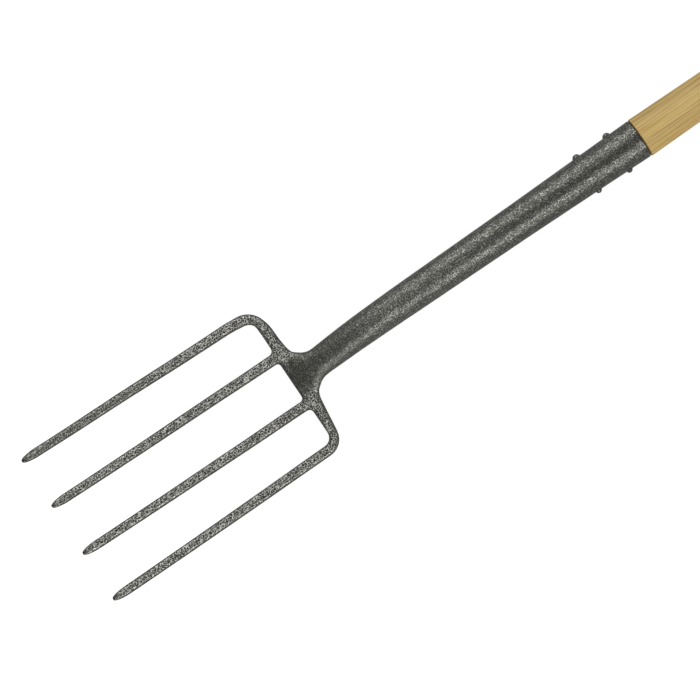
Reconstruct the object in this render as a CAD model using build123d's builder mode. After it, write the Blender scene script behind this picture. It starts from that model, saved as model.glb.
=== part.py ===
from build123d import *
from math import cos, pi, radians, sin, sqrt
import os

# Digging fork: a forged four-tine head with a long socket, riveted to an ash shaft that
# splits into a Y and carries a turned hand grip. Millimetres.
# The fork lies on its back with its face up. The origin is on the flat heel behind the
# shoulder bar. +X runs up the handle, +Z out of the face, and +Y is the left side.

os.makedirs("parts", exist_ok=True)

# ---- driving dimensions ----------------------------------------------------------------

# shoulder bar: the cross bar that carries the tines
bar_thickness = 11.5
bar_top_x = 9.2  # handle-side edge beside the neck
bar_corner_x = 0.2  # handle-side edge where it meets the outer tine
bar_corner_radius = 20.5
middle_crotch_x = -8.4
middle_crotch_radius = 3.8
outer_crotch_x = -7.1
outer_crotch_radii = (5.0, 10.0)  # beside the inner tine and beside the outer tine
edge_round = 3.6

# tines
tine_root_x = -22.0
tine_length = 244.0  # along the curve, from the root to where the point begins
tine_sweep = 13.5  # degrees turned from root to point, towards the face
tine_root_width = 11.5
tine_point_width = 10.1
tine_point_thickness = 7.6
inner_tine_y = 29.0
outer_tine_root_y = 81.5
outer_tine_point_y = 84.9
point_length = 18.5
point_taper = 0.93  # how far the rounded point closes, 1 being to nothing
tine_steps = 4
point_steps = 8

# neck and socket: a dome rises out of the bar and becomes a round, slowly widening tube
neck_end_x = 136.0
neck_waist_x = 28.0
neck_waist_half_width = 15.6
neck_end_radius = 17.55
neck_fullness = 0.4  # how much more of the neck's widening comes early
flare_radius = 20.0
flare_reach = 17.6  # the flare is an arc of this length along X
dome_start_x = -7.0
dome_start_z = 11.0
dome_bottom_z = 0.6
dome_ease = 1.1  # above 1 the dome starts flat, as a web, before it climbs
dome_steps = 20
stub_end_x = 30.0  # the bar's plate runs this far into the neck, thinning from below
stub_thinning = 9.0
socket_mid_x = 281.0
socket_mid_radius = 18.95
socket_end_x = 424.2
socket_end_radius = 21.45
socket_wall = 2.3
seam_start_x = 160.0
seam_width = 1.0
bore_neck_radius = 13.6
bore_tip_clearance = 1.0

# ash shaft
shaft_radius = 21.95  # proud of the socket's end
shaft_gap = 1.2  # the shadow line between the socket's end and the wood
shoulder_bevel = (0.8, 0.6)  # along and across the shaft
tenon_clearance = 0.15
tenon_tip_x = 96.0
tenon_tip_radius = 8.0
split_x = 612.0  # where the shaft begins to divide
split_end_x = 636.0  # where the round shaft ends inside the arms
upper_shaft_radius = 20.0
grip_x = 762.0

# Y arms
arm_straight_x = 745.0
arm_inner_y = 45.0  # flat inner faces that the grip stands between
arm_outer_y = 62.0
arm_height = 33.0
arm_split_height = 39.0
arm_split_inner_y = -4.0  # the arms' inner faces start past the centre, inside the shaft
arm_end_x = 787.0
arm_end_round = 7.5
arm_steps = 7

# hand grip, rivets and washers
grip_end_radius = 14.0
grip_middle_radius = 17.2
grip_end_round = 1.5
grip_clearance = 0.1
rivet_clearance = 0.05
seat_clearance = 0.02
seat_margin = 0.6  # a washer's seat is this much larger in radius
washer_gap = 0.02
washer_chamfer = 0.25
head_rim = 0.3  # height of a head's straight rim, under its dome
head_sink = 0.8  # the socket rivets' rims reach this far down round the socket
socket_rivet_xs = {"lower": 361.3, "upper": 398.5}
socket_rivet_radius = 3.0
socket_rivet_head = (4.4, 3.5)  # radius and height of the dome, left side
socket_rivet_tail = (3.35, 2.7)  # the peened end, right side
grip_rivet_radius = 3.0
grip_rivet_head = (5.2, 2.3)
grip_washer = (9.0, 1.5)  # outer radius and thickness
grip_seat_y = 61.0
crotch_rivet_x = 598.0
crotch_rivet_radius = 2.2
crotch_rivet_head = (4.0, 1.7)
crotch_washer = (6.5, 1.2)
crotch_seat_y = 18.6  # flats filed on the shaft for the washers

# ---- values worked out from them -------------------------------------------------------

axis_z = shaft_radius  # the heel and the shaft touch the same flat surface
bar_mid_z = bar_thickness / 2
tine_bend_radius = tine_length / radians(tine_sweep)
root_half_width = tine_root_width / 2
bore_end_radius = socket_end_radius - socket_wall
grip_half_length = arm_inner_y - grip_clearance
shaft_axis = Axis((0, 0, axis_z), (1, 0, 0))


def smoothstep(t):
    """Cubic ease from 0 to 1 that is level at both ends."""
    t = min(max(t, 0.0), 1.0)
    return t * t * (3 - 2 * t)


# ---- fork head -------------------------------------------------------------------------


def tine_point(along):
    """X and Z of the tines' centre line, which curves towards the face."""
    angle = along / tine_bend_radius
    return tine_root_x - tine_bend_radius * sin(angle), bar_mid_z + tine_bend_radius * (1 - cos(angle))


# plan of the bar, its tine stubs and the neck's flare: the left half, mirrored
with BuildSketch() as bar_plan:
    with BuildLine():
        Polyline(
            (stub_end_x, 0),
            (middle_crotch_x, 0),
            (middle_crotch_x, inner_tine_y - root_half_width),
            (tine_root_x, inner_tine_y - root_half_width),
            (tine_root_x, inner_tine_y + root_half_width),
            (outer_crotch_x, inner_tine_y + root_half_width),
            (outer_crotch_x, outer_tine_root_y - root_half_width),
            (tine_root_x, outer_tine_root_y - root_half_width),
            (tine_root_x, outer_tine_root_y + root_half_width),
            (bar_corner_x, outer_tine_root_y + root_half_width),
            (bar_top_x, neck_waist_half_width),
            (stub_end_x, neck_waist_half_width),
            close=True,
        )
    make_face()
    for x, y, radius in (
        (middle_crotch_x, inner_tine_y - root_half_width, middle_crotch_radius),
        (outer_crotch_x, inner_tine_y + root_half_width, outer_crotch_radii[0]),
        (outer_crotch_x, outer_tine_root_y - root_half_width, outer_crotch_radii[1]),
        (bar_corner_x, outer_tine_root_y + root_half_width, bar_corner_radius),
        (bar_top_x, neck_waist_half_width, flare_radius - 1),
    ):
        fillet(bar_plan.vertices().sort_by_distance((x, y, 0))[0], radius=radius)
    mirror(about=Plane.XZ)


def is_rim(edge):
    """An edge where the bar's face or back meets its sides, but not the ends of its stubs."""
    level = abs(edge.tangent_at(0.5).Z) < 0.01
    return level and tine_root_x < round(edge.center().X, 3) < stub_end_x


def tine_section(root_y, point_y, along):
    """Sketch plane, width and thickness of a tine's section, at 0 (root) to 1 (start of the point)."""
    x, z = tine_point(along * tine_length)
    heading = (-cos(radians(along * tine_sweep)), 0, sin(radians(along * tine_sweep)))
    plane = Plane(origin=(x, root_y + (point_y - root_y) * along, z), x_dir=(0, 1, 0), z_dir=heading)
    width = tine_root_width + (tine_point_width - tine_root_width) * along
    thickness = bar_thickness + (tine_point_thickness - bar_thickness) * along
    return plane, width, thickness


def dome_rise(x):
    """Share of the neck's climb from the bar's face to the socket's face, 0 to 1."""
    return sin(pi / 2 * (x - middle_crotch_x) / (neck_end_x - middle_crotch_x)) ** dome_ease


def dome_half_width(x):
    """Half width of the neck: level over the bar, flared down to the waist, then widening."""
    if x < neck_waist_x:
        reach = min(neck_waist_x - x, flare_reach)
        return neck_waist_half_width + flare_radius - sqrt(flare_radius**2 - reach**2)
    share = (x - neck_waist_x) / (neck_end_x - neck_waist_x)
    share *= 1 + neck_fullness * (1 - share)
    return neck_waist_half_width + (neck_end_radius - neck_waist_half_width) * share


def dome_plane(x):
    """Cross plane of the neck at x, and the half height of the section there."""
    top = dome_start_z + (axis_z + neck_end_radius - dome_start_z) * dome_rise(x)
    bottom = dome_bottom_z + (axis_z - neck_end_radius - dome_bottom_z) * max(x, 0) / neck_end_x
    plane = Plane(origin=(x, 0, (top + bottom) / 2), x_dir=(0, 1, 0), z_dir=(1, 0, 0))
    return plane, (top - bottom) / 2


def socket_radius(x):
    """Outer radius of the socket at x: two cones, the upper one opening wider."""
    if x < socket_mid_x:
        share = (x - neck_end_x) / (socket_mid_x - neck_end_x)
        return neck_end_radius + (socket_mid_radius - neck_end_radius) * share
    share = (x - socket_mid_x) / (socket_end_x - socket_mid_x)
    return socket_mid_radius + (socket_end_radius - socket_mid_radius) * share


with BuildPart() as fork_head:
    # shoulder bar with rounded edges, thinning from below where the neck takes over from it
    add(bar_plan.sketch)
    extrude(amount=bar_thickness)
    fillet(fork_head.edges().filter_by(is_rim), radius=edge_round)
    with BuildSketch(Plane.XZ):
        with BuildLine():
            Polyline((bar_top_x, 0), (stub_end_x, stub_thinning), (stub_end_x, 0), close=True)
        make_face()
    extrude(amount=outer_tine_root_y, both=True, mode=Mode.SUBTRACT)

    # tines
    for root_y, point_y in ((inner_tine_y, inner_tine_y), (outer_tine_root_y, outer_tine_point_y)):
        for side in (-1, 1):
            for step in range(tine_steps + 1):
                plane, width, thickness = tine_section(side * root_y, side * point_y, step / tine_steps)
                with BuildSketch(plane):
                    RectangleRounded(width, thickness, edge_round)
            loft()
            for step in range(point_steps + 1):
                share = step / point_steps
                size = sqrt(1 - (point_taper * share) ** 2)
                with BuildSketch(plane.offset(share * point_length)):
                    RectangleRounded(width * size, thickness * size, edge_round * size)
            loft()

    # neck dome
    for step in range(dome_steps + 1):
        x = dome_start_x + (neck_end_x - dome_start_x) * step / dome_steps
        plane, half_height = dome_plane(x)
        with BuildSketch(plane):
            Ellipse(dome_half_width(x), half_height)
    loft()

    # socket and its conical bore, both turned about the handle's axis
    with BuildSketch(Plane.XZ):
        with BuildLine():
            Polyline(
                (neck_end_x, axis_z),
                (neck_end_x, axis_z + neck_end_radius),
                (socket_mid_x, axis_z + socket_mid_radius),
                (socket_end_x, axis_z + socket_end_radius),
                (socket_end_x, axis_z),
                close=True,
            )
        make_face()
    revolve(axis=shaft_axis)
    with BuildSketch(Plane.XZ):
        with BuildLine():
            Polyline(
                (socket_end_x, axis_z),
                (socket_end_x, axis_z + bore_end_radius),
                (neck_end_x, axis_z + bore_neck_radius),
                (tenon_tip_x - bore_tip_clearance, axis_z + tenon_tip_radius),
                (tenon_tip_x - bore_tip_clearance, axis_z),
                close=True,
            )
        make_face()
    revolve(axis=shaft_axis, mode=Mode.SUBTRACT)

    # seam along the back of the rolled socket
    with Locations(((seam_start_x + socket_end_x) / 2, 0, axis_z - socket_end_radius / 2)):
        Box(socket_end_x - seam_start_x, seam_width, socket_end_radius, mode=Mode.SUBTRACT)

    # rivet holes from side to side
    for rivet_x in socket_rivet_xs.values():
        with Locations(Plane(origin=(rivet_x, 0, axis_z), z_dir=(0, 1, 0))):
            Hole(socket_rivet_radius + rivet_clearance)

fork_head.part.label = "fork_head"
export_step(fork_head.part, "parts/fork_head.step")


# ---- ash shaft -------------------------------------------------------------------------


def across_plane(x, y):
    """Plane facing the left side at x, y, on the shaft's centre line."""
    return Plane(origin=(x, y, axis_z), x_dir=(1, 0, 0), z_dir=(0, 1, 0))


def arm_section(x):
    """Inner face, outer face and half height of an arm of the Y at x."""
    spread = smoothstep((x - split_x) / (arm_straight_x - split_x))
    inner = arm_split_inner_y + (arm_inner_y - arm_split_inner_y) * spread
    outer = upper_shaft_radius + (arm_outer_y - upper_shaft_radius) * spread
    height = arm_split_height + (arm_height - arm_split_height) * spread
    return inner, outer, height / 2


shoulder_x = socket_end_x + shaft_gap

with BuildPart() as ash_shaft:
    # tenon, shoulder and straight shaft
    with BuildSketch(Plane.XZ):
        with BuildLine():
            Polyline(
                (tenon_tip_x, axis_z),
                (tenon_tip_x, axis_z + tenon_tip_radius - tenon_clearance),
                (neck_end_x, axis_z + bore_neck_radius - tenon_clearance),
                (shoulder_x, axis_z + bore_end_radius - tenon_clearance),
                (shoulder_x, axis_z + shaft_radius - shoulder_bevel[1]),
                (shoulder_x + shoulder_bevel[0], axis_z + shaft_radius),
                (split_x, axis_z + upper_shaft_radius),
                (split_end_x, axis_z + arm_split_height / 2 - 1),
                (split_end_x, axis_z),
                close=True,
            )
        make_face()
    revolve(axis=shaft_axis)

    # arms of the Y: flat towards the hand, round outside, with a rounded upper end
    for side in (-1, 1):
        for step in range(arm_steps + 1):
            x = split_x + (arm_straight_x - split_x) * step / arm_steps
            inner, outer, half_height = arm_section(x)
            with BuildSketch(Plane(origin=(x, 0, axis_z), x_dir=(0, side, 0), z_dir=(1, 0, 0))):
                with BuildLine():
                    Line((inner, half_height), (inner, -half_height))
                    EllipticalCenterArc((inner, 0), outer - inner, half_height, -90, arc_size=180)
                make_face()
        loft()
    extrude(ash_shaft.faces().sort_by(Axis.X)[-2:], amount=arm_end_x - arm_straight_x)
    fillet(ash_shaft.faces().sort_by(Axis.X)[-2:].edges(), radius=arm_end_round)

    # flat seats for the washers, and holes for the rivets
    with Locations(across_plane(grip_x, 0)):
        Hole(grip_rivet_radius + rivet_clearance)
    with Locations(across_plane(crotch_rivet_x, 0)):
        Hole(crotch_rivet_radius + rivet_clearance)
    for rivet_x in socket_rivet_xs.values():
        with Locations(across_plane(rivet_x, 0)):
            Hole(socket_rivet_radius + rivet_clearance)
    for x, seat_y, washer in (
        (grip_x, grip_seat_y, grip_washer),
        (crotch_rivet_x, crotch_seat_y, crotch_washer),
    ):
        for side in (-1, 1):
            with BuildSketch(across_plane(x, side * seat_y)):
                Circle(washer[0] + seat_margin)
            extrude(amount=side * upper_shaft_radius, mode=Mode.SUBTRACT)

ash_shaft.part.label = "ash_shaft"
export_step(ash_shaft.part, "parts/ash_shaft.step")


# ---- hand grip -------------------------------------------------------------------------

with BuildPart() as hand_grip:
    with BuildSketch(Plane(origin=(grip_x, 0, axis_z), x_dir=(0, 1, 0), z_dir=(1, 0, 0))):
        with BuildLine():
            ThreePointArc(
                (-grip_half_length, grip_end_radius),
                (0, grip_middle_radius),
                (grip_half_length, grip_end_radius),
            )
            Polyline(
                (grip_half_length, grip_end_radius),
                (grip_half_length, grip_rivet_radius + rivet_clearance),
                (-grip_half_length, grip_rivet_radius + rivet_clearance),
                (-grip_half_length, grip_end_radius),
            )
        make_face()
    revolve(axis=Axis((grip_x, 0, axis_z), (0, 1, 0)))
    end_circles = hand_grip.edges().filter_by(GeomType.CIRCLE).filter_by(Plane.XZ)
    fillet(end_circles.group_by(SortBy.RADIUS)[-1], radius=grip_end_round)

hand_grip.part.label = "hand_grip"
export_step(hand_grip.part, "parts/hand_grip.step")


# ---- rivets and washers ----------------------------------------------------------------


def rivet(name, x, shank_radius, left, right, rim, seat_sleeve=None):
    """Write one rivet across the handle at x. Left and right each give the distance of the head's
    underside from the centre, its radius, and the height of the dome above its straight rim.
    A seat_sleeve cuts the rims to the round surface that they are formed down onto."""
    (left_y, left_radius, left_dome), (right_y, right_radius, right_dome) = left, right
    left_top = (0, left_y + rim + left_dome)
    right_top = (0, -right_y - rim - right_dome)
    with BuildPart() as piece:
        with BuildSketch(Plane(origin=(x, 0, axis_z), x_dir=(1, 0, 0), z_dir=(0, 0, 1))):
            with BuildLine():
                TangentArc(left_top, (left_radius, left_y + rim), tangent=(1, 0))
                Polyline(
                    (left_radius, left_y + rim),
                    (left_radius, left_y),
                    (shank_radius, left_y),
                    (shank_radius, -right_y),
                    (right_radius, -right_y),
                    (right_radius, -right_y - rim),
                )
                TangentArc(right_top, (right_radius, -right_y - rim), tangent=(1, 0))
                Line(left_top, right_top)
            make_face()
        revolve(axis=Axis((x, 0, axis_z), (0, 1, 0)))
        if seat_sleeve is not None:
            add(seat_sleeve, mode=Mode.SUBTRACT)
    piece.part.label = name
    export_step(piece.part, f"parts/{name}.step")


def washer(name, x, seat_y, side, size, hole_radius):
    """Write one flat washer, on its seat on one side of the handle."""
    radius, thickness = size
    with BuildPart() as piece:
        with BuildSketch(across_plane(x, side * (seat_y + washer_gap))):
            Circle(radius)
            Circle(hole_radius, mode=Mode.SUBTRACT)
        extrude(amount=side * thickness)
        rims = piece.edges().filter_by(GeomType.CIRCLE).group_by(SortBy.RADIUS)[-1]
        chamfer(rims, length=washer_chamfer)
    piece.part.label = name
    export_step(piece.part, f"parts/{name}.step")


# The sleeve is the socket's outside beside the rivet, less the shank's hole.
for place, rivet_x in socket_rivet_xs.items():
    reach = 2 * socket_rivet_head[0]
    with BuildPart() as seat_sleeve:
        with Locations(Plane(origin=(rivet_x, 0, axis_z), z_dir=(1, 0, 0))):
            Cone(
                bottom_radius=socket_radius(rivet_x - reach) + seat_clearance,
                top_radius=socket_radius(rivet_x + reach) + seat_clearance,
                height=2 * reach,
            )
        with Locations(across_plane(rivet_x, 0)):
            Hole(socket_rivet_radius)
    underside_y = socket_radius(rivet_x) - head_sink
    rivet(
        f"socket_rivet_{place}",
        rivet_x,
        socket_rivet_radius,
        (underside_y, *socket_rivet_head),
        (underside_y, *socket_rivet_tail),
        head_sink,
        seat_sleeve.part,
    )

for name, x, seat_y, washer_size, shank_radius, head in (
    ("grip", grip_x, grip_seat_y, grip_washer, grip_rivet_radius, grip_rivet_head),
    ("crotch", crotch_rivet_x, crotch_seat_y, crotch_washer, crotch_rivet_radius, crotch_rivet_head),
):
    washer(f"{name}_washer_left", x, seat_y, 1, washer_size, shank_radius + rivet_clearance)
    washer(f"{name}_washer_right", x, seat_y, -1, washer_size, shank_radius + rivet_clearance)
    underside_y = seat_y + washer_size[1] + 2 * washer_gap
    rivet(f"{name}_rivet", x, shank_radius, (underside_y, *head), (underside_y, *head), head_rim)
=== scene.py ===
import math

import bmesh
import bpy
import numpy as np
from mathutils import Matrix, Vector, noise as field


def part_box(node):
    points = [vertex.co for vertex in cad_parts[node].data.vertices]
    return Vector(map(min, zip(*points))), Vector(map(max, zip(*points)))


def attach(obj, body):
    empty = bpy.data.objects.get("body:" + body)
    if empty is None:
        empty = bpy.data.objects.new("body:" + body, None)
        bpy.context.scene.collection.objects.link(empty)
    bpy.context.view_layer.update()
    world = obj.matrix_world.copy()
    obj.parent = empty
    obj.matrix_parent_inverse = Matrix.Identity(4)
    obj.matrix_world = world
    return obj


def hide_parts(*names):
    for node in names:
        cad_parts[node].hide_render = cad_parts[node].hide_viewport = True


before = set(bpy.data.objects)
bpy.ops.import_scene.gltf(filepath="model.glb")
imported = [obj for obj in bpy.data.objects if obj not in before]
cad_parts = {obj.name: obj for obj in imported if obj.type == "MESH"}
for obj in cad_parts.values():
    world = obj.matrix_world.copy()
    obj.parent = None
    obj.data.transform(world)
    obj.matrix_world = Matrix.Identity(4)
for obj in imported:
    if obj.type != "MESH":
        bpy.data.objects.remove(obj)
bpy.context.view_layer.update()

# Looks of a digging fork: a forged head in hammered enamel on a riveted ash shaft.
# Metres, in the frame of the CAD model: +X up the handle, +Z out of the fork's face.

MM = 0.001

# ---- sizes -----------------------------------------------------------------------------

grip_low, grip_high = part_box("hand_grip")
axis_z = (grip_low.z + grip_high.z) / 2  # height of the line that the socket and the shaft share

neck_end_x = 136 * MM  # where the neck has become the round socket
neck_end_radius = 17.55 * MM
socket_mid_x = 281 * MM
socket_mid_radius = 18.95 * MM
socket_end_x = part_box("fork_head")[1].x
socket_end_radius = 21.45 * MM
socket_wall = 2.3 * MM
bore_neck_radius = 13.6 * MM
seam_start_x = 160 * MM
seam_fade = 6 * MM  # length over which the seam reaches its full depth
seam_depth = 1.5 * MM
seam_half_width = 0.9 * MM

weld_distance = 0.002 * MM
forging_voxel = 0.9 * MM
forging_smoothing = 6  # rounds of softening
softening = 0.5
joint_overlap = 14 * MM  # length remeshed past the neck's end and then cut away
unevenness = 0.12 * MM  # how far hammering leaves the steel from a true surface
unevenness_width = 16 * MM

# Where forging by eye moved the head in plan: centre, reach and shift in millimetres.
forged_shifts = (
    ((16, 0), (40, 60), (0, -1.3)),  # the neck's foot, to the right
    ((-12, 79), (14, 14), (-1.0, -1.8)),  # the left shoulder, rounder than the right
    ((6, 60), (8, 12), (1.8, 0)),  # the bar's upper edge beside it
    ((-160, 84), (62, 20), (0, 1.0)),  # the left tine, bowed outwards
    ((-35, 29), (45, 14), (0, -0.8)),  # the left inner tine's root, to the right
    ((-60, -29), (45, 14), (0, -0.5)),  # the right inner tine's root, to the right
)

# ---- colours: ramps of position and linear red, green and blue -------------------------

plain_enamel = (
    (0.0, (0.077, 0.077, 0.063)),
    (0.34, (0.10, 0.10, 0.088)),
    (0.95, (0.52, 0.52, 0.475)),
)
# painted highlight: a lit copy of the enamel's colours, for the flat faces of the tines and the bar
painted_lit_enamel = (
    (0.0, (0.042, 0.042, 0.035)),
    (0.24, (0.075, 0.075, 0.066)),
    (0.85, (0.93, 0.93, 0.86)),
)
ash_tones = (
    (0.38, (0.93, 0.68, 0.275)),
    (0.49, (0.86, 0.60, 0.20)),
    (0.60, (0.58, 0.34, 0.085)),
)
zinc_tones = (
    (0.35, (0.42, 0.42, 0.41)),
    (0.65, (0.66, 0.66, 0.64)),
)
floor_grey = (0.5, 0.5, 0.5, 1)
white = (1, 1, 1, 1)

# ---- mesh helpers ----------------------------------------------------------------------


def add_object(name, data):
    """A new object in the scene."""
    obj = bpy.data.objects.new(name, data)
    bpy.context.scene.collection.objects.link(obj)
    return obj


def new_piece(name, mesh, node):
    """A smooth-shaded piece on the fork's one body, standing for a CAD node."""
    piece = add_object(name, mesh)
    mesh.shade_smooth()
    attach(piece, "root")
    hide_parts(node)
    return piece


def apply_modifiers(obj):
    """Replace an object's mesh by what its modifiers make of it."""
    evaluated = obj.evaluated_get(bpy.context.evaluated_depsgraph_get())
    made = bpy.data.meshes.new_from_object(evaluated)
    obj.modifiers.clear()
    obj.data = made


def welded_copy(node):
    """The CAD node's mesh with its split corners joined, as a bmesh."""
    bm = bmesh.new()
    bm.from_mesh(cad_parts[node].data)
    bmesh.ops.remove_doubles(bm, verts=bm.verts, dist=weld_distance)
    return bm


def cut_off(bm, x):
    """Cut away everything above x and close the cut with flat faces."""
    geometry = bm.verts[:] + bm.edges[:] + bm.faces[:]
    cut = bmesh.ops.bisect_plane(
        bm, geom=geometry, plane_co=(x, 0, 0), plane_no=(1, 0, 0), clear_outer=True
    )
    edges = [item for item in cut["geom_cut"] if isinstance(item, bmesh.types.BMEdge)]
    filled = bmesh.ops.triangle_fill(bm, edges=edges, use_beauty=True)
    for item in filled["geom"]:
        if isinstance(item, bmesh.types.BMFace):
            item.smooth = False
    for edge in edges:
        edge.smooth = False


def remeshed(bm, name, voxel, smoothing):
    """An even skin of small quads over a closed bmesh, with its edges softened."""
    mesh = bpy.data.meshes.new(name)
    bm.to_mesh(mesh)
    bm.free()
    obj = add_object(name, mesh)
    remesh = obj.modifiers.new("skin", "REMESH")
    remesh.mode = "VOXEL"
    remesh.voxel_size = voxel
    smooth = obj.modifiers.new("soften", "SMOOTH")
    smooth.factor = softening
    smooth.iterations = smoothing
    apply_modifiers(obj)
    made = obj.data
    bpy.data.objects.remove(obj)
    return made


# ---- node helpers ----------------------------------------------------------------------


def set_inputs(tree, node, inputs):
    """Give each input its value, or link the output socket that feeds it."""
    for key, value in inputs.items():
        if isinstance(value, bpy.types.NodeSocket):
            tree.links.new(value, node.inputs[key])
        else:
            node.inputs[key].default_value = value


def add_node(tree, kind, inputs=None, **settings):
    """Add a shader node with its settings and inputs."""
    made = tree.nodes.new(kind)
    for name, value in settings.items():
        setattr(made, name, value)
    set_inputs(tree, made, inputs or {})
    return made


def math_node(tree, operation, a, b=0.0):
    """One sum, difference, product or other operation on numbers."""
    return add_node(tree, "ShaderNodeMath", {0: a, 1: b}, operation=operation).outputs[0]


def vector_math(tree, operation, inputs):
    """One sum, difference or scaling of vectors."""
    return add_node(tree, "ShaderNodeVectorMath", inputs, operation=operation).outputs[0]


def total(tree, first, *others):
    """The sum of two or more numbers."""
    for other in others:
        first = math_node(tree, "ADD", first, other)
    return first


def product(tree, first, *others):
    """The product of two or more numbers."""
    for other in others:
        first = math_node(tree, "MULTIPLY", first, other)
    return first


def map_range(tree, value, low, high, to_low=0.0, to_high=1.0):
    """Ease from to_low, where the value is at or below low, to to_high, where it reaches high."""
    inputs = {"Value": value, "From Min": low, "From Max": high, "To Min": to_low, "To Max": to_high}
    made = add_node(tree, "ShaderNodeMapRange", inputs, interpolation_type="SMOOTHSTEP")
    return made.outputs["Result"]


def colour_ramp(tree, value, stops):
    """A colour for each value, between the stops' positions."""
    made = add_node(tree, "ShaderNodeValToRGB", {"Fac": value})
    elements = made.color_ramp.elements
    while len(elements) < len(stops):
        elements.new(1.0)
    for element, (position, colour) in zip(elements, stops):
        element.position = position
        element.color = (*colour, 1.0)
    return made.outputs["Color"]


def noise(tree, coords, scale, detail=2.0, roughness=0.5):
    """A cloudy noise with about one cloud to each 1 / scale."""
    inputs = {"Vector": coords, "Scale": scale, "Detail": detail, "Roughness": roughness}
    return add_node(tree, "ShaderNodeTexNoise", inputs)


def mottle(tree, coords, scale, low, high, least):
    """Noise as blotches: least where it is at or below low, rising to 1 where it reaches high."""
    return map_range(tree, noise(tree, coords, scale).outputs[0], low, high, least, 1.0)


def stretched(tree, coords, scales, offset=(0, 0, 0)):
    """Coordinates with their own scale on each axis, and moved."""
    inputs = {"Vector": coords, "Location": offset, "Scale": scales}
    return add_node(tree, "ShaderNodeMapping", inputs).outputs[0]


def bumped(tree, height, strength, distance):
    """The surface's normal, tilted by the slopes of a height."""
    inputs = {"Height": height, "Strength": strength, "Distance": distance}
    return add_node(tree, "ShaderNodeBump", inputs).outputs[0]


def new_material(name):
    """A material with its node tree, its principled shader and its object coordinates."""
    material = bpy.data.materials.new(name)
    material.use_nodes = True
    tree = material.node_tree
    tree.nodes.clear()
    shader = add_node(tree, "ShaderNodeBsdfPrincipled")
    output = add_node(tree, "ShaderNodeOutputMaterial")
    tree.links.new(shader.outputs[0], output.inputs["Surface"])
    coords = add_node(tree, "ShaderNodeTexCoord").outputs["Object"]
    return material, tree, shader, coords


def feed(tree, shader, **inputs):
    """Set or link a shader's inputs; underscores in the names stand for spaces."""
    set_inputs(tree, shader, {name.replace("_", " "): value for name, value in inputs.items()})


# ---- materials -------------------------------------------------------------------------


def cell_rims(tree, coords):
    """Small irregular cells: 1 along their edges, falling to 0 inside them."""
    cell_size = 2.6 * MM
    warp_scale = 260
    warp_reach = 3.0 * MM
    rim_starts, rim_ends = 0.035, 0.205
    warp = noise(tree, coords, warp_scale).outputs["Color"]
    centred = vector_math(tree, "SUBTRACT", {0: warp, 1: (0.5, 0.5, 0.5)})
    shift = vector_math(tree, "SCALE", {0: centred, "Scale": warp_reach})
    warped = vector_math(tree, "ADD", {0: coords, 1: shift})
    cells = {"Vector": warped, "Scale": 1 / cell_size}
    edges = add_node(tree, "ShaderNodeTexVoronoi", cells, feature="DISTANCE_TO_EDGE")
    return map_range(tree, edges.outputs["Distance"], rim_starts, rim_ends, 1.0, 0.0)


def painted_light_faces(tree, coords, along, across):
    """1 on the flat faces of the tines and the bar's arms, which get a painted highlight, and 0
    elsewhere.

    The points and the lower half of the left tine get less of it, as painted shade.
    """
    edge_scale = 60
    edge_wander = 16 * MM
    arms_start = (27 * MM, 35 * MM)  # distances from the centre line
    bar_top = (14 * MM, 30 * MM)
    face_tilt = (0.70, 0.95)  # upright part of a normal, from a rounded edge to a flat face
    points = (-282 * MM, -270 * MM)
    points_share = 0.1
    left_tine = (50 * MM, 70 * MM)
    lower_half = (-150 * MM, -60 * MM)
    # painted shade: share of the painted highlight that the lower half of the left tine loses
    left_tine_painted_shade = 0.5
    wander = product(tree, noise(tree, coords, edge_scale).outputs[0], edge_wander)
    off_centre = total(tree, math_node(tree, "ABSOLUTE", across), wander)
    on_arms = map_range(tree, off_centre, *arms_start)
    below = map_range(tree, along, *bar_top, 1.0, 0.0)
    normal = add_node(tree, "ShaderNodeNewGeometry").outputs["Normal"]
    upright = add_node(tree, "ShaderNodeSeparateXYZ", {0: normal}).outputs[2]
    # The painted highlight goes by the way a face turns: full on flat faces, none on rounded edges.
    on_faces = map_range(tree, math_node(tree, "ABSOLUTE", upright), *face_tilt)
    off_points = map_range(tree, along, *points, points_share, 1.0)
    on_left = map_range(tree, across, *left_tine)
    left_tine_shaded = product(tree, on_left, map_range(tree, along, *lower_half, left_tine_painted_shade, 0.0))
    on_faces = product(tree, on_faces, off_points, math_node(tree, "SUBTRACT", 1.0, left_tine_shaded))
    return product(tree, on_arms, below, on_faces)


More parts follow.
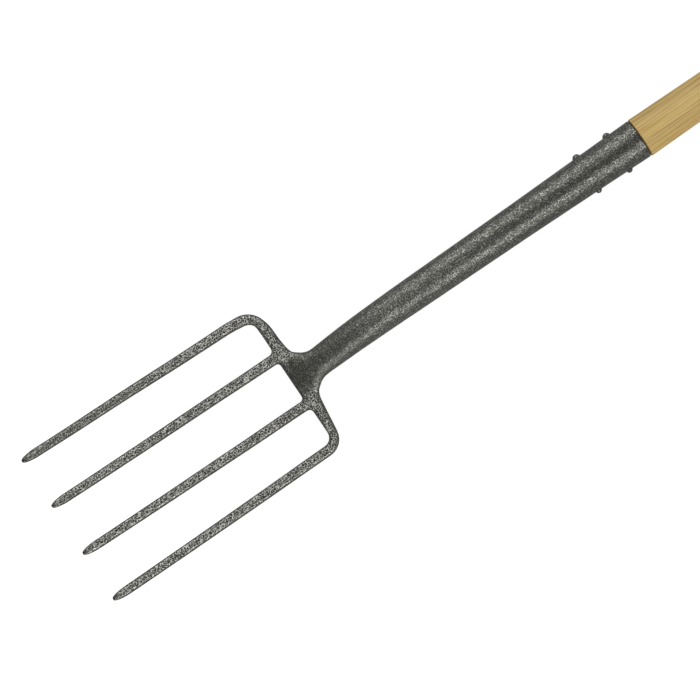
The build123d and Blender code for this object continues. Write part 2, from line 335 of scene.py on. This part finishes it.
def hammered_enamel():
    """Dark grey enamel that dries into small cells: dark dimples with bright metallic rims.

    It has a painted highlight on the flat faces of the tines and the bar, plain colours elsewhere, and
    is more even on the neck.
    """
    material, tree, shader, coords = new_material("hammered_enamel")
    neck_starts = (4 * MM, 24 * MM)
    neck_ends = (55 * MM, 110 * MM)
    neck_evenness = 0.32  # share of the way to one even amount of flakes
    neck_flakes = 0.40
    metal_flakes = (0.0, 0.4)
    least_metal, most_metal = 0.15, 0.95
    painted_light_metal_loss = 0.45  # share of the metal look that the faces with the painted highlight lose
    web_starts = (-5 * MM, 25 * MM)
    web_loss = 0.34  # metal look lost from the web up, before the socket's shine
    shine_grows = (25 * MM, 400 * MM)
    most_shine = 1.46  # at the socket's upper end
    fine_height = 0.25
    ripple_scale = 140
    ripple_height = 10.0

    rim = cell_rims(tree, coords)
    patches = mottle(tree, coords, scale=230, low=0.34, high=0.60, least=0.68)
    fine = mottle(tree, coords, scale=900, low=0.36, high=0.60, least=0.30)
    flakes = product(tree, rim, patches, fine)
    along, across, _ = add_node(tree, "ShaderNodeSeparateXYZ", {0: coords}).outputs
    above_web = map_range(tree, along, *neck_starts)
    on_neck = product(tree, above_web, map_range(tree, along, *neck_ends, neck_evenness, 0.0))
    evening = product(tree, on_neck, math_node(tree, "SUBTRACT", neck_flakes, flakes))
    flakes = total(tree, flakes, evening)

    dull = colour_ramp(tree, flakes, plain_enamel)
    bright = colour_ramp(tree, flakes, painted_lit_enamel)
    # Painted highlight: the lit copy of the colours on the flat faces.
    painted_light = painted_light_faces(tree, coords, along, across)
    colour = add_node(tree, "ShaderNodeMix", {"Factor": painted_light, 6: dull, 7: bright}, data_type="RGBA")

    metal = map_range(tree, flakes, *metal_flakes, least_metal, most_metal)
    metal_kept = math_node(tree, "SUBTRACT", 1.0, product(tree, painted_light, painted_light_metal_loss))
    dullness = map_range(tree, along, *web_starts, 0.0, web_loss)
    shine = map_range(tree, along, *shine_grows, 1.0, most_shine)
    metal = product(tree, metal, metal_kept, math_node(tree, "SUBTRACT", shine, dullness))

    ripples = noise(tree, coords, ripple_scale, detail=1.0).outputs[0]
    height = total(
        tree, rim, product(tree, fine, fine_height), product(tree, ripples, ripple_height)
    )
    feed(
        tree,
        shader,
        Base_Color=colour.outputs[2],
        Metallic=metal,
        Roughness=0.34,
        Coat_Weight=0.08,
        Coat_Roughness=0.25,
        Normal=bumped(tree, height, strength=0.32, distance=0.25 * MM),
    )
    return material


def ash_wood(name, along):
    """Lacquered ash with its grain along one axis, 0 for X or 1 for Y."""
    material, tree, shader, coords = new_material(name)
    arms_length = (608 * MM, 745 * MM)
    arms_spread = 45.5 * MM
    ring_scale = 118.0
    ring_waviness = 5.0
    ring_wave_scale = 0.35
    ring_share, fibre_share, band_share = 0.10, 0.65, 0.25
    pore_range = (0.60, 0.74)
    pore_shade = 0.78
    # painted shade in the gap at the socket's mouth, fading out just up the shaft
    gap_shade_fades = (socket_end_x + 0.7 * MM, socket_end_x + 2.2 * MM)
    gap_painted_shade = 0.15

    x, y, z = add_node(tree, "ShaderNodeSeparateXYZ", {0: coords}).outputs
    if along == 0:
        # The grain leaves the centre line with the two arms of the Y.
        spread = map_range(tree, x, *arms_length, 0.0, arms_spread)
        side = math_node(tree, "SIGN", y)
        y = math_node(tree, "SUBTRACT", y, product(tree, side, spread))
        coords = add_node(tree, "ShaderNodeCombineXYZ", {0: x, 1: y, 2: z}).outputs[0]

    def grain(lengthwise, crosswise, offset=(0, 0, 0)):
        """Coordinates scaled along the grain and across it."""
        scales = [crosswise] * 3
        scales[along] = lengthwise
        return stretched(tree, coords, scales, offset)

    pith = [88 * MM, 88 * MM, 13 * MM]  # the rings' centre, outside the wood
    pith[along] = 0
    ring_inputs = {
        "Vector": grain(lengthwise=0.06, crosswise=1.0, offset=pith),
        "Scale": ring_scale,
        "Distortion": ring_waviness,
        "Detail": 2.0,
        "Detail Scale": ring_wave_scale,
    }
    rings = add_node(
        tree,
        "ShaderNodeTexWave",
        ring_inputs,
        wave_type="RINGS",
        rings_direction="XY"[along],
        wave_profile="SAW",
    )
    bands = noise(tree, grain(lengthwise=1.6, crosswise=170.0), 1.0)
    fibres = noise(tree, grain(lengthwise=5.0, crosswise=640.0), 1.0, detail=3.0, roughness=0.7)
    pores = noise(tree, grain(lengthwise=30.0, crosswise=1300.0), 1.0, roughness=0.6)
    tone = total(
        tree,
        product(tree, rings.outputs["Fac"], ring_share),
        product(tree, fibres.outputs[0], fibre_share),
        product(tree, bands.outputs[0], band_share),
    )
    colour = colour_ramp(tree, tone, ash_tones)
    pits = map_range(tree, pores.outputs[0], *pore_range, 1.0, pore_shade)
    shade = pits
    if along == 0:
        # Painted shade darkens the wood in the gap where it enters the socket, and the shoulder's edge
        # beside it.
        shade = product(tree, pits, map_range(tree, x, *gap_shade_fades, gap_painted_shade, 1.0))
    shaded = add_node(
        tree, "ShaderNodeMix", {"Factor": 1.0, 6: colour}, data_type="RGBA", blend_type="MULTIPLY"
    )
    tree.links.new(shade, shaded.inputs[7])
    feed(
        tree,
        shader,
        Base_Color=shaded.outputs[2],
        Roughness=0.5,
        Coat_Weight=0.12,
        Coat_Roughness=0.25,
        Normal=bumped(tree, math_node(tree, "SUBTRACT", pits, tone), strength=0.25, distance=0.1 * MM),
    )
    return material


def zinc_steel():
    """Zinc-plated steel, faintly crystalline and scuffed."""
    material, tree, shader, coords = new_material("zinc_steel")
    spangle = noise(tree, coords, 900, detail=3.0).outputs[0]
    spangle_range = (0.3, 0.7)
    least_rough, most_rough = 0.28, 0.48
    feed(
        tree,
        shader,
        Base_Color=colour_ramp(tree, spangle, zinc_tones),
        Metallic=1.0,
        Roughness=map_range(tree, spangle, *spangle_range, least_rough, most_rough),
        Normal=bumped(tree, spangle, strength=0.2, distance=0.05 * MM),
    )
    return material


def dress(obj, material):
    """Give an object one material."""
    obj.data.materials.clear()
    obj.data.materials.append(material)


# ---- fork head -------------------------------------------------------------------------


def hammered_in(point):
    """How far the steel lies below its true surface at a point."""
    return unevenness * (0.5 + 0.5 * field.noise(point / unevenness_width))


def forged_shift(point):
    """How far the real head stands from a symmetric one at a point, in plan."""
    moved = Vector((0, 0, 0))
    for centre, reach, shift in forged_shifts:
        along = (point.x / MM - centre[0]) / reach[0]
        across = (point.y / MM - centre[1]) / reach[1]
        moved += Vector((*shift, 0)) * MM * math.exp(-(along**2) - across**2)
    return moved


def meet_socket(bm):
    """Ease the neck's end, shrunk a little by the softening, back to the socket's radius."""
    outside = (neck_end_radius + bore_neck_radius) / 2
    skin = []
    for vert in bm.verts:
        spoke = Vector((0, vert.co.y, vert.co.z - axis_z))
        if vert.co.x > neck_end_x - joint_overlap and spoke.length > outside:
            skin.append((vert, spoke))
    ring = [spoke.length for vert, spoke in skin if abs(vert.co.x - neck_end_x) < forging_voxel]
    missing = neck_end_radius - sum(ring) / len(ring)
    for vert, spoke in skin:
        share = min(1.0, 1 + (vert.co.x - neck_end_x) / joint_overlap)
        vert.co += spoke.normalized() * missing * share


def forging_mesh():
    """Tines, shoulder bar and neck: the CAD solid's skin, evened out, softened and hammered."""
    bm = welded_copy("fork_head")
    cut_off(bm, neck_end_x + joint_overlap)
    mesh = remeshed(bm, "forging", forging_voxel, forging_smoothing)
    bm = bmesh.new()
    bm.from_mesh(mesh)
    for face in bm.faces:
        face.smooth = True
    meet_socket(bm)
    bm.normal_update()
    for vert in bm.verts:
        vert.co += forged_shift(vert.co) - vert.normal * hammered_in(vert.co)
    cut_off(bm, neck_end_x)
    bm.to_mesh(mesh)
    bm.free()
    return mesh


def socket_radius(x):
    """Outside radius of the socket: two cones."""
    share = np.interp(x, (neck_end_x, socket_mid_x, socket_end_x), (0, 1, 2))
    return np.interp(share, (0, 1, 2), (neck_end_radius, socket_mid_radius, socket_end_radius))


def socket_rings():
    """Place and radius of each ring, up the skin, round the mouth and down the bore.

    Also how many of the rings are on the skin and its rounded edge.
    """
    step = 1.5 * MM
    lip = 0.5 * MM
    lip_steps = 3
    bore_stride = 6  # rings on the skin for each one in the bore
    bore_end_radius = socket_end_radius - socket_wall
    length = socket_end_x - neck_end_x
    skin_xs = np.linspace(neck_end_x, socket_end_x - lip, int(length / step))
    rings = [(x, socket_radius(x)) for x in skin_xs]
    for angle in np.linspace(0, math.pi / 2, lip_steps + 1)[1:]:
        x = socket_end_x - lip + lip * math.sin(angle)
        rings.append((x, socket_end_radius - lip + lip * math.cos(angle)))
    skin_count = len(rings)
    rings.append((socket_end_x, bore_end_radius + lip))
    rings.append((socket_end_x - lip, bore_end_radius))
    for x in skin_xs[::-bore_stride]:
        share = (x - neck_end_x) / length
        rings.append((x, bore_neck_radius + (bore_end_radius - bore_neck_radius) * share))
    return rings, skin_count


def seam_cut(x, sideways):
    """Depth of the seam at a point on the socket's back."""
    fade = min(1.0, max(0.0, (x - seam_start_x) / seam_fade))
    return seam_depth * fade * max(0.0, 1 - abs(sideways) / seam_half_width)


def socket_mesh():
    """The rolled socket: outer skin, rounded mouth and bore, with the seam down its back."""
    columns = 160
    rings, skin_count = socket_rings()
    back_angle = -math.pi / 2  # the first column runs down the middle of the seam
    angles = back_angle + np.linspace(0, 2 * math.pi, columns, endpoint=False)
    verts = []
    for index, (x, radius) in enumerate(rings):
        for angle in angles:
            across = math.cos(angle)
            up = math.sin(angle)
            cut = 0.0
            if index < skin_count:
                if up < 0:
                    cut = seam_cut(x, radius * across)
                cut += hammered_in(Vector((x, radius * across, axis_z + radius * up)))
            verts.append((x, (radius - cut) * across, axis_z + (radius - cut) * up))
    faces = []
    for ring in range(len(rings)):
        low = ring * columns
        high = (ring + 1) % len(rings) * columns
        for column in range(columns):
            after = (column + 1) % columns
            faces.append((low + column, low + after, high + after, high + column))
    mesh = bpy.data.meshes.new("socket")
    mesh.from_pydata(verts, [], faces)
    mesh.validate()
    bm = bmesh.new()
    bm.from_mesh(mesh)
    bmesh.ops.recalc_face_normals(bm, faces=bm.faces)
    bm.verts.ensure_lookup_table()
    for column in range(columns):
        bm.edges.get((bm.verts[column], bm.verts[(column + 1) % columns])).smooth = False
    bm.to_mesh(mesh)
    bm.free()
    return mesh


# ---- build -----------------------------------------------------------------------------

enamel = hammered_enamel()
shaft_ash = ash_wood("ash_along_shaft", 0)
grip_ash = ash_wood("ash_along_grip", 1)
zinc = zinc_steel()

forging = new_piece("fork_forging", forging_mesh(), "fork_head")
socket = new_piece("fork_socket", socket_mesh(), "fork_head")
dress(forging, enamel)
dress(socket, enamel)

for name in ("socket_rivet_lower", "socket_rivet_upper"):
    dress(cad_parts[name], enamel)
dress(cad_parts["ash_shaft"], shaft_ash)
dress(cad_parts["hand_grip"], grip_ash)
for name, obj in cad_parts.items():
    if name.startswith(("grip_", "crotch_")):
        dress(obj, zinc)

# ---- studio ----------------------------------------------------------------------------


def soft_box(name, place, aim, size, power):
    """A rectangular light, its first side along X, turned from its place towards a point."""
    data = bpy.data.lights.new(name, "AREA")
    data.shape = "RECTANGLE"
    data.size, data.size_y = size
    data.energy = power
    light = add_object(name, data)
    back = (Vector(place) - Vector(aim)).normalized()
    side = Vector((1, 0, 0))
    side = (side - back * side.dot(back)).normalized()
    up = back.cross(side)
    light.matrix_world = Matrix.Translation(place) @ Matrix((side, up, back)).transposed().to_4x4()
    light.visible_camera = False


soft_box("box_right", place=(0.12, -1.02, 0.855), aim=(0.12, 0, 0), size=(2.4, 0.86), power=11.8)
soft_box("box_left", place=(0.48, 1.02, 0.855), aim=(0.48, 0, 0), size=(1.8, 1.08), power=8.8)
soft_box("box_tines", place=(-0.05, 0.10, 1.2), aim=(-0.12, 0.02, 0), size=(0.3, 0.5), power=0.85)

# The floor shines by itself, as a white backdrop does, and gives the fork no light or reflection.
floor_reach = 40.0
floor_drop = 0.2 * MM
floor_glow = 0.86
corners = [
    (-floor_reach, -floor_reach, 0),
    (floor_reach, -floor_reach, 0),
    (floor_reach, floor_reach, 0),
    (-floor_reach, floor_reach, 0),
]
floor_mesh = bpy.data.meshes.new("floor")
floor_mesh.from_pydata(corners, [], [(0, 1, 2, 3)])
floor = add_object("floor", floor_mesh)
floor.location.z = -floor_drop
floor.visible_glossy = False
floor.visible_diffuse = False
floor_material, floor_tree, floor_shader, _ = new_material("floor")
feed(
    floor_tree,
    floor_shader,
    Base_Color=floor_grey,
    Roughness=1.0,
    Emission_Color=white,
    Emission_Strength=floor_glow,
)
dress(floor, floor_material)

# The sky is dim overhead, brighter towards the horizon, and white where the camera sees it.
sky_band = (-0.1, 0.7)  # upward part of a direction
horizon_glow, overhead_glow = 0.32, 0.05
backdrop_glow = 0.88
world = bpy.data.worlds.new("studio")
bpy.context.scene.world = world
world.use_nodes = True
sky = world.node_tree
direction = add_node(sky, "ShaderNodeTexCoord").outputs["Generated"]
upward = add_node(sky, "ShaderNodeSeparateXYZ", {0: direction}).outputs["Z"]
glow = map_range(sky, upward, *sky_band, horizon_glow, overhead_glow)
seen = add_node(sky, "ShaderNodeLightPath").outputs["Is Camera Ray"]
brightness = math_node(sky, "MAXIMUM", glow, product(sky, seen, backdrop_glow))
sky.links.new(brightness, sky.nodes["Background"].inputs["Strength"])
sky.nodes["Background"].inputs["Color"].default_value = white
bpy.context.scene.view_settings.view_transform = "Standard"

# ---- camera ----------------------------------------------------------------------------

camera_place = Vector((0.1849, -0.2577, 2.5001))
camera_aim = Vector((0.0596, -0.0082, 0.0))
camera_roll = math.radians(-34.259)
camera_lens = 125.47

camera_data = bpy.data.cameras.new("camera")
camera_data.lens = camera_lens
camera = add_object("camera", camera_data)
back = (camera_place - camera_aim).normalized()
side = Vector((0, 1, 0)).cross(back).normalized()
turn = Matrix((side, back.cross(side), back)).transposed() @ Matrix.Rotation(camera_roll, 3, "Z")
camera.matrix_world = Matrix.Translation(camera_place) @ turn.to_4x4()
bpy.context.scene.camera = camera
